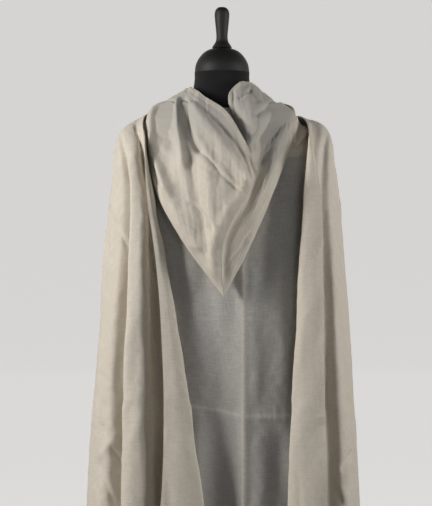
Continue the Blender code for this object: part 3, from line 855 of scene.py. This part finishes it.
def innerLine(side, topAngle, lowAngle):
    top = necklineZ(topAngle)
    heights = (top, top - 0.022, top - 0.065, 1.325, cloakSizes["chestHeight"], 1.08, 0.90, 0.70, 0.44)
    points = []
    for i, z in enumerate(heights + (cloakSizes["hemHeight"],)):
        points.append(innerLayerPoint(side, topAngle + (lowAngle - topAngle) * min(1.0, i / 4), z))
    return points


frontSizes = {
    "sideLap": 0.05,  # degrees past the side seam
    "stepsAcross": 10,
    "upperRows": 150,
    "lowerRows": 110,
    "creasedColumns": (6.5, 7.5),  # creases start past the crest over the arm, where the folds face backwards
    "hairpinColumns": (4.5, 6.5),  # the layers lie close together round the hairpin, and are smooth there
    "hairpinRipple": 0.1,
    "hemStitch": 0.009,
}


def buildFronts():
    edgeAngle = cloakSizes["sideAngle"] + frontSizes["sideLap"]
    for side, hand in ((1, "left"), (-1, "right")):
        lines = [innerLine(side, edgeAngle, edgeAngle), innerLine(side, 112, 101), innerLine(side, 142, 118)]
        lines += [frontLine(side, fold, shoulderArcs[hand]) for fold in frontFolds[hand]]
        lines = np.array(lines)
        seam = frontSeamPlaces[hand]
        columns = np.linspace(0, len(lines) - 1, (len(lines) - 1) * frontSizes["stepsAcross"] + 1)
        shows = smoothStep(columns, *frontSizes["creasedColumns"])[None, :]
        still = frontSizes["hairpinRipple"]
        upper = evenPlaces(lines, 0, seam, frontSizes["upperRows"])
        lower = evenPlaces(lines, seam, lines.shape[1] - 1, frontSizes["lowerRows"])
        for part, places, hems, seams, creases in (
            ("Upper", upper, ("last",), ("bottom",), frontCreases[hand]),
            ("Lower", lower, ("last", "bottom"), ("top",), lowerFrontCreases[hand]),
        ):
            down = through(lines.swapaxes(0, 1), places)
            grid = through(down.swapaxes(0, 1), columns).swapaxes(0, 1)
            normals = outward(grid, (side, 0, 0), 0.6, 0.45)
            mask = seamMask(grid, {"first": 0.03, seams[0]: 0.02})
            grid = pressed(grid, normals, creases, mask * shows)
            u, v = np.moveaxis(cutPlaces(grid), -1, 0)
            ripple = rippled(u, v, 20 + side, 20, 0.07, 0.45, 0.0011)
            ripple += rippled(u, v, 30 + side, 20, 0.03, 0.05, 0.00022)
            ripple *= still + (1 - still) * smoothStep(columns, *frontSizes["hairpinColumns"])[None, :]
            grid = puckered(grid + normals * (ripple * mask)[..., None], normals, seams, 0.0002)
            rows = [(edge, frontSizes["hemStitch"]) for edge in hems]
            node = f"front_{part.lower()}_{hand}"
            sewnPiece(f"front{part}{hand.title()}", node, grid, creamWool, hems, (), rows)


buildFronts()
print("fronts sewn")

# the hood, lying on the back: each row is a line round the neck from the neckline to the centre seam. It has the
# angle from the nape of its point on the neckline, then points beside the neck, over the shoulder and down, in
# mm, and then its place on the centre seam
hoodLines = {
    "left": [
        (176, (72, -55, 1437), (68, 40, 1475), (30, 100, 1446), (-8, 128, 1418),
         (-43, 160, 1360), 0),  # rim of the face opening
        (138, (90, -40, 1448), (98, 35, 1459), (85, 115, 1405), (68, 166, 1330),
         (35, 196, 1250), 4),  # middle
        (100, (118, -4, 1446), (154, 34, 1428), (157, 96, 1352), (136, 138, 1250),
         (80, 158, 1146), 6),  # outline
    ],
    "right": [
        (176, (-80, -50, 1445), (-72, 35, 1478), (-41, 74, 1484), (-14, 97, 1456),
         (-24, 112, 1400), 0),  # rim of the face opening
        (155, (-92, -40, 1452), (-92, 38, 1462), (-80, 100, 1436), (-74, 138, 1394),
         (-62, 150, 1345), 1),  # lobe beside the neck
        (138, (-102, -30, 1443), (-116, 34, 1441), (-117, 76, 1420), (-98, 106, 1384),
         (-76, 134, 1336), 2),  # crevice
        (120, (-110, -18, 1443), (-134, 33, 1431), (-134, 88, 1396), (-115, 132, 1336),
         (-82, 168, 1258), 3.5),  # band
        (100, (-120, -4, 1443), (-152, 32, 1432), (-144, 92, 1362), (-112, 138, 1266),
         (-56, 158, 1135), 6),  # outline
    ],
}
hoodSeam = np.array([
    (-73, 182, 1296), (-60, 191, 1262), (-47, 197, 1232), (-24, 203, 1196),
    (-3, 200, 1148), (2, 186, 1090), (-3, 166, 1034),
]) / 1000
hoodCreases = {
    "left": [
        # the outer roll, and the deep hollow behind it
        ([(138, 1438), (146, 1386), (141, 1334), (123, 1283), (102, 1232)], 13, 9, 0.1, 0),
        ([(106, 1452), (117, 1400), (114, 1366), (98, 1335)], -9, 13),
        ([(130, 1384), (112, 1379), (96, 1372)], 4, 5),
        # an upright pleat, steep on its right, and the crevice beside it
        ([(91, 1455), (90, 1412), (86, 1375), (80, 1334), (76, 1290)], 13, 8, 0.3, 0.5),
        ([(79, 1452), (75, 1406), (68, 1375), (55, 1345), (40, 1325)], -13, 8, 0.1, 0),
        # the main roll from the neck to the rim's end
        ([(68, 1452), (46, 1412), (24, 1375), (-8, 1334), (-36, 1294), (-56, 1252)],
         13, 16),
        # the long trough down the middle, and the ridge beside it
        ([(64, 1352), (60, 1293), (56, 1245), (46, 1190), (36, 1140)], -9, 17),
        ([(32, 1330), (26, 1263), (22, 1201), (17, 1140), (10, 1080)], 3, 12, 0, 0.2),
        ([(2, 1270), (4, 1205), (8, 1130)], 3, 16),
        ([(64, 1356), (37, 1328), (15, 1302), (-6, 1277), (-34, 1252), (-58, 1234)],
         -4, 4.5, 0.5, 0.6),  # a crisp diagonal crease
        ([(44, 1300), (20, 1288), (-2, 1262)], -1.5, 5, 0.3, 0.4),
        ([(74, 1230), (46, 1208), (31, 1193), (14, 1166)], -5.5, 5, 0.5, 0.7),  # a short deep fold
        ([(42, 1196), (33, 1150), (26, 1115)], -3, 4.5, 0.3, 0.5),
        ([(121, 1273), (87, 1195), (46, 1120)], 5, 13),
        ([(108, 1330), (94, 1262), (78, 1205)], -3, 13),
        # beside the rim's hem, with two small pleats at its end
        ([(72, 1456), (44, 1424), (5, 1388), (-28, 1345), (-52, 1308)], -4.5, 7, 0.1, 0),
        ([(-34, 1326), (-42, 1297), (-52, 1262)], 3.2, 3.5, 0.3, 0.3),
        ([(-48, 1326), (-55, 1297), (-62, 1270)], 3, 3.5, 0.3, 0.3),
        ([(-60, 1300), (-46, 1266), (-32, 1238), (-8, 1204), (14, 1150), (18, 1092),
          (10, 1045)], 5, 11),  # the left half rolls over the right one
    ],
    "right": [
        ([(-24, 1466), (-24, 1431), (-24, 1392)], -3, 4, 0.2, 0.3),  # inner line of the rim's hem
        ([(-30, 1447), (-47, 1457), (-63, 1469)], -3.5, 5, 0.2, 0.4),
        ([(-57, 1472), (-69, 1453), (-79, 1436)], -3.5, 5, 0.3, 0.4),
        ([(-66, 1409), (-90, 1426), (-112, 1438)], -5, 7, 0.1, 0.4),
        ([(-34, 1400), (-53, 1388), (-71, 1380)], -3, 5, 0.3, 0.3),
        ([(-140, 1436), (-118, 1400), (-94, 1371), (-69, 1351), (-46, 1333)], -5, 10),
        ([(-146, 1425), (-131, 1350), (-104, 1292), (-76, 1232), (-46, 1165)], 4, 12),
        ([(-112, 1358), (-98, 1332), (-81, 1302)], -3.5, 6, 0.1, 0.4),
        ([(-16, 1110), (-32, 1129), (-50, 1150)], -3, 4, 0.4, 0.5),
        ([(-78, 1292), (-62, 1245), (-34, 1196), (-12, 1148), (-6, 1095), (-6, 1050)],
         -6, 8),
    ],
}


def offTheBack(point):
    if point[2] > cloakSizes["necklineHeight"] - 0.008:
        return lifted(point, cloakSizes["bodyClearance"])
    return lifted(point, cloakSizes["underHood"], cloakRings)


def laidOnBack(point):
    low, high = 0.0, 0.3
    for _ in range(24):
        middle = (low + high) / 2
        inside = excessOver(cloakRings, np.array([point[0], middle, point[2]])) < 0
        low, high = (middle, high) if inside else (low, middle)
    return offTheBack(np.array([point[0], max(high, point[1]), point[2]]))


hoodSizes = {
    "neckRise": -0.0035,  # the hood laps over the neckline it is sewn to
    "neckReach": 0.0032,
    "underShares": (0.35, 0.7, 1.0),  # rows of the lower layer, from the outline back to the nape
    "rows": 150,
    "topColumns": 126,  # most of the points go to the top layer, which shows
    "underColumns": 30,
    "ripple": 0.0006,
    "fineRipple": 0.0003,
    "layerGap": 0.004,  # between the layers on the back, and a little more near the shoulders
    "shoulderGap": 0.003,
    "shoulderHeights": (1.38, 1.42),
    # the top layer is kept off the lower one behind the neck and below these heights
    "freeHeights": (1.436, 1.456),
    "freeDepths": (-0.015, 0.025),
    # heights and depths over which the top of the hood is painted greyer: painted shade
    "paintedShadeHeights": {"left": (1.275, 1.41), "right": (1.240, 1.39)},
    "paintedShadeDepths": (-0.01, 0.06),
    "rimStitches": (0.002, 0.008),
}


def hoodSheet(side, lines):
    rise, out = hoodSizes["neckRise"], hoodSizes["neckReach"]
    rows = []
    for angle, *points, seamPlace in lines:
        points = [np.array(p) / 1000 for p in points]
        points.append(through(hoodSeam, [seamPlace])[0])
        rows.append([neckPoint(side, angle, rise, out)] + [offTheBack(p) for p in points])
    outline = rows[-1]
    count = len(outline)
    for share in hoodSizes["underShares"]:
        row = []
        for i, start in enumerate(outline):
            nape = neckPoint(side, cloakSizes["napeAngle"] * (1 - i / (count - 1)), rise, out)
            point = start + (nape - start) * share
            row.append(laidOnBack(point) if share < 1 else point)
        rows.append(row)
    return np.array(rows)


def buildHood():
    topColumns = hoodSizes["topColumns"]
    for side, hand in ((1, "left"), (-1, "right")):
        lines = hoodLines[hand]
        rows = hoodSheet(side, lines)
        top = len(lines) - 1
        along = evenPlaces(rows[: top + 1], 0, rows.shape[1] - 1, hoodSizes["rows"])
        along = through(rows.swapaxes(0, 1), along)
        topPlaces = np.linspace(0, top, topColumns)
        underPlaces = np.linspace(top, len(rows) - 1, hoodSizes["underColumns"])[1:]
        places = np.concatenate([topPlaces, underPlaces])
        grid = through(along.swapaxes(0, 1), places).swapaxes(0, 1)
        seam = through(hoodSeam, np.interp(topPlaces, range(top + 1), [line[-1] for line in lines]))
        shift = seam - grid[-1, :topColumns]
        grid[:, :topColumns] += shift * (np.linspace(0, 1, len(grid)) ** 5)[:, None, None]
        normals = outward(grid, (0, 1, 0.3), 0.6, 0.4)
        onTop = 1 - smoothStep(places, top - 0.2, top - 0.01)[None, :]
        mask = seamMask(grid, {"top": 0.012, "bottom": 0.005}) * onTop
        grid = pressed(grid, normals, hoodCreases[hand], mask)
        u, v = np.moveaxis(cutPlaces(grid), -1, 0)
        ripple = rippled(u, v, 50 + side, 20, 0.06, 0.08, hoodSizes["ripple"])
        ripple += rippled(u, v, 60 + side, 24, 0.022, 0.03, hoodSizes["fineRipple"])
        grid = grid + normals * (ripple * mask)[..., None]
        # the lower layer lies on the back, and the top layer stays off it
        under = (places - top)[None, :, None]
        settled = lifted(grid, cloakSizes["underHood"], cloakRings, True)
        grid += (settled - grid) * smoothStep(under, 0.05, 0.5) * (1 - smoothStep(under, 2.2, 2.9))
        y, z = grid[..., 1], grid[..., 2]
        behind = smoothStep(y, *hoodSizes["freeDepths"])
        onBack = (1 - smoothStep(z, *hoodSizes["freeHeights"])) * behind * onTop
        extra = hoodSizes["shoulderGap"] * smoothStep(z, *hoodSizes["shoulderHeights"])
        above = cloakSizes["underHood"] + hoodSizes["layerGap"] + extra
        # elsewhere the clearance is so far below nothing that no point is moved
        grid = lifted(grid, above * onBack - 0.03 * (1 - onBack), cloakRings)
        y, z = grid[..., 1], grid[..., 2]
        # painted shade: greyer the higher the hood stands and towards the back, fading out towards its outline
        # and lower layer
        inside = 1 - smoothStep(places, top - 0.55 * top / 2, top - 0.1)[None, :]
        paintedShade = smoothStep(z, *hoodSizes["paintedShadeHeights"][hand]) * smoothStep(y, *hoodSizes["paintedShadeDepths"])
        rows = [("first", inset) for inset in hoodSizes["rimStitches"]]
        name, node = "hood" + hand.title(), "hood_" + hand
        sewnPiece(name, node, grid, hoodWoolPaintedShade, ("first",), (), rows, paintedShade=paintedShade * inside)


buildHood()
print("hood sewn")


# turned profiles, as radius and height, from the top down; a corner ends one run and starts the next
standProfiles = {
    "finial": [
        [(0.0002, 1.652), (0.008, 1.651), (0.0135, 1.646), (0.0158, 1.638), (0.0152, 1.625), (0.013, 1.602),
         (0.0121, 1.588), (0.0135, 1.578), (0.019, 1.569), (0.0215, 1.5643)],
        [(0.0215, 1.5643), (0.0002, 1.5643)],
    ],
    "neck_cap": [
        [(0.0002, 1.564), (0.02, 1.5625), (0.036, 1.556), (0.048, 1.544), (0.056, 1.529), (0.059, 1.5103)],
        [(0.059, 1.5103), (0.0002, 1.5103)],
    ],
    "stand_pole": [
        [(0.0002, 0.7597), (0.05, 0.7597)],
        [(0.05, 0.7597), (0.05, 0.753)],
        [(0.05, 0.753), (0.02, 0.748), (0.014, 0.742), (0.014, 0.73)],
        [(0.014, 0.73), (0.014, 0.0603)],
        [(0.014, 0.0603), (0.0002, 0.0603)],
    ],
    "stand_base": [
        [(0.0002, 0.06), (0.024, 0.06)],
        [(0.024, 0.06), (0.025, 0.059), (0.026, 0.025), (0.034, 0.015), (0.09, 0.0126), (0.175, 0.01),
         (0.19, 0.007)],
        [(0.19, 0.007), (0.19, 0.0)],
        [(0.19, 0.0), (0.0002, 0.0)],
    ],
}
standSteps = {"around": 128, "alongRun": 8}


def ringFaces(count, around):
    # the faces between rings of points, each next ring after the one before it
    faces = []
    for i in range(count - 1):
        for k in range(around):
            here, after = i * around + k, i * around + (k + 1) % around
            faces.append((here, here + around, after + around, after))
    return faces


def closedRings(name, rings, finish):
    # a closed body through rings of points, from the top down
    around = len(rings[0])
    last = (len(rings) - 1) * around
    faces = [tuple(range(around))] + ringFaces(len(rings), around)
    faces.append(tuple(reversed(range(last, last + around))))
    obj = meshObject(name, [p for ring in rings for p in ring], faces, finish)
    obj.data.set_sharp_from_angle(angle=math.radians(40))
    return obj


def turnedPiece(name, node, finish):
    turns = np.linspace(0, 2 * math.pi, standSteps["around"], endpoint=False)
    rings = []
    for run in standProfiles[node]:
        outline = [(radius, 0.0, z) for radius, z in run]
        steps = standSteps["alongRun"] if len(run) > 2 else 1
        for radius, _, z in through(outline, np.linspace(0, len(run) - 1, (len(run) - 1) * steps + 1)):
            if not rings or abs(rings[-1][0][0] - radius) > 1e-7 or abs(rings[-1][0][2] - z) > 1e-7:
                rings.append([(radius * math.cos(t), radius * math.sin(t), z) for t in turns])
    finishPiece(closedRings(name, rings, finish), (node,))


def torsoPiece(name, node, finish):
    # the padded torso and its neck: rounded sections through the form's rings
    turns = np.linspace(0, 2 * math.pi, standSteps["around"], endpoint=False)
    table = [(halfWidth, halfDepth, middle, z) for z, halfWidth, halfDepth, middle in reversed(formRings)]
    places = np.linspace(0, len(table) - 1, standSteps["alongRun"] * (len(table) - 1) + 1)
    rings = []
    for halfWidth, halfDepth, middle, z in through(table, places):
        # squarish round the body, and round at the neck under its cap
        share = 2 / (cloakSizes["roundness"] + (2 - cloakSizes["roundness"]) * smoothStep(z, 1.43, 1.49))
        ring = []
        for t in turns:
            x = halfWidth * math.copysign(abs(math.cos(t)) ** share, math.cos(t))
            y = middle + halfDepth * math.copysign(abs(math.sin(t)) ** share, math.sin(t))
            ring.append((x, y, z))
        rings.append(ring)
    finishPiece(closedRings(name, rings, finish), (node,))


def dressStand():
    lacquer, steel = lacqueredBeech(), powderCoatedSteel()
    torsoPiece("dressForm", "dress_form", cottonJersey())
    turnedPiece("neckCap", "neck_cap", lacquer)
    turnedPiece("finialKnob", "finial", lacquer)
    turnedPiece("standPole", "stand_pole", steel)
    turnedPiece("standBase", "stand_base", steel)


dressStand()
print("stand finished")


studio = {
    "cameraDistance": 3.6,
    "cameraX": 0.0129,
    "cameraHeight": 1.1233,
    "pictureHeight": 1.088,
    "sensor": 36.0,
    "floorColour": "#D9D7D3",
    "floorRadius": 12.0,
    "floorBend": 3.0,
    "wallHeight": 14.0,
    "bendSteps": 24,
    "stepsAround": 96,
    # the glow starts 0.7 m from the stand and is full at 4 m, as shares of 10 m counted inwards
    "glowPlaces": {1: 0.93, 2: 0.60},
    "glowStrengths": {3: 0.04, 4: 0.64},
    "glowColour": "#F4F3F1",
    "skyColour": "#ECEDEF",
    "skyStrength": 0.11,
}

# place, target, size, watts and colour: a strong key on the wearer's left and a weaker one on the right, both a
# little behind the wearer, a weak fill far behind, and a soft light for the front
softBoxes = {
    "keyLeft": ((2.1, 1.1, 1.80), (0.0, 0.0, 1.45), (0.7, 0.9), 52, "#FFFBF5"),
    "keyRight": ((-2.1, 0.7, 1.45), (0.0, 0.0, 1.25), (0.7, 1.1), 25, "#FFFBF5"),
    "backFill": ((-0.9, 3.2, 1.7), (0.0, 0.1, 1.45), (0.8, 0.6), 5, "#FFFFFF"),
    "front": ((0.0, -3.0, 2.0), (0.0, 0.0, 1.0), (2.0, 2.0), 14, "#F6F8FF"),
}


def studioFloor():
    # a white studio bowl: a pale floor that brightens into a wall all round. Nothing gets diffuse light from it
    material, tree, shader = newMaterial("studioFloor")
    shader.inputs["Base Color"].default_value = linear(studio["floorColour"])
    shader.inputs["Roughness"].default_value = 0.9
    place = addNode(tree, "TexCoord").outputs["Object"]
    shrunk = addNode(tree, "VectorMath", {0: place}, {3: 0.1}, operation="SCALE").outputs[0]
    near = addNode(tree, "TexGradient", {"Vector": shrunk}, gradient_type="SPHERICAL").outputs["Fac"]
    glowRange = {**studio["glowPlaces"], **studio["glowStrengths"]}
    glow = addNode(tree, "MapRange", {"Value": near}, glowRange, interpolation_type="SMOOTHSTEP").outputs[0]
    tree.links.new(glow, shader.inputs["Emission Strength"])
    shader.inputs["Emission Color"].default_value = linear(studio["glowColour"])

    radius, bend = studio["floorRadius"], studio["floorBend"]
    profile = [(0.001, 0.0), (radius / 4, 0.0), (radius, 0.0)]
    for k in range(1, studio["bendSteps"] + 1):
        turn = math.pi / 2 * k / studio["bendSteps"]
        profile.append((radius + bend * math.sin(turn), bend - bend * math.cos(turn)))
    profile.append((radius + bend, studio["wallHeight"]))
    around = studio["stepsAround"]
    turns = [2 * math.pi * k / around for k in range(around)]
    points = [(reach * math.cos(turn), reach * math.sin(turn), z) for reach, z in profile for turn in turns]
    faces = [face[::-1] for face in ringFaces(len(profile), around)]
    floor = meshObject("floor", points, faces, material)
    floor.visible_diffuse = False


def softBox(name, place, target, size, power, colour):
    light = bpy.data.lights.new(name, "AREA")
    light.shape = "RECTANGLE"
    light.size, light.size_y = size
    light.energy = power
    light.color = linear(colour)[:3]
    lamp = placed(name, light)
    lamp.location = place
    lamp.rotation_euler = (Vector(target) - Vector(place)).to_track_quat("-Z", "Y").to_euler()


def buildStudio():
    studioFloor()
    for name, light in softBoxes.items():
        softBox(name, *light)
    world = bpy.data.worlds.new("studio")
    bpy.context.scene.world = world
    world.use_nodes = True
    background = world.node_tree.nodes["Background"]
    background.inputs[0].default_value = linear(studio["skyColour"])
    background.inputs[1].default_value = studio["skyStrength"]

    camera = bpy.data.cameras.new("camera")
    camera.sensor_fit = "VERTICAL"
    camera.sensor_height = studio["sensor"]
    camera.lens = studio["sensor"] * studio["cameraDistance"] / studio["pictureHeight"]
    eye = placed("camera", camera)
    eye.location = (studio["cameraX"], studio["cameraDistance"], studio["cameraHeight"])
    eye.rotation_euler = (math.pi / 2, 0, math.pi)
    bpy.context.scene.camera = eye
    bpy.context.scene.view_settings.view_transform = "Standard"


buildStudio()
print("studio lit")
